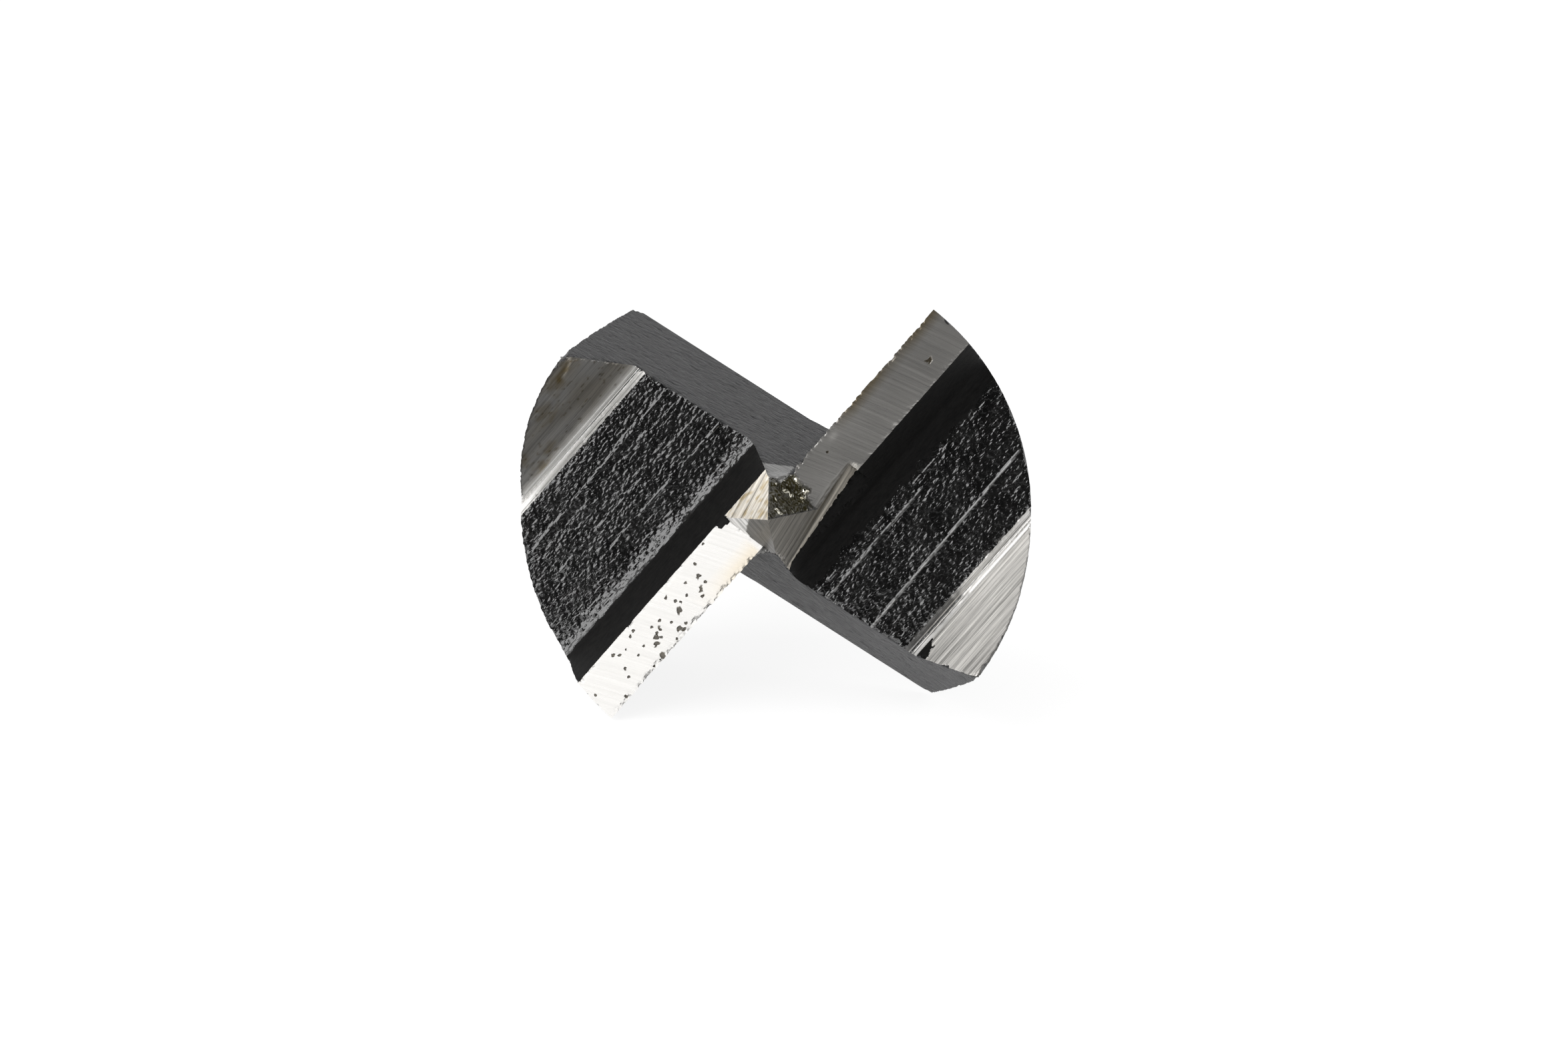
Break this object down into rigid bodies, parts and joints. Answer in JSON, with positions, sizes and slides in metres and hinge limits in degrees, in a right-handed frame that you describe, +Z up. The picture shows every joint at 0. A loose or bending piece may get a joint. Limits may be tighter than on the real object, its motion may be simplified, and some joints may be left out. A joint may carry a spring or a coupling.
{
  "type": "forstner bit",
  "caption": "Wood-boring bit with two wide ground cutting lips, raised rim spurs, a four-sided centre point and a plain round shank, lying on its side.",
  "frame": {"origin": "middle of the outline's footprint, on the table that the bit lies on", "axes": "+Z up from the table; the bit's axis runs along Y with the centre point towards -Y, and drops by 12 degrees towards the shank's end; +X is to the right seen from the point"},
  "size_m": [0.0348, 0.0564, 0.0298],
  "materials": {
    "blackened_steel": "black oxide over forged steel, with bare ground lands, bevels and point"
  },
  "bodies": {
    "root": {"forstner_bit": "blackened_steel"}
  },
  "joints": []
}
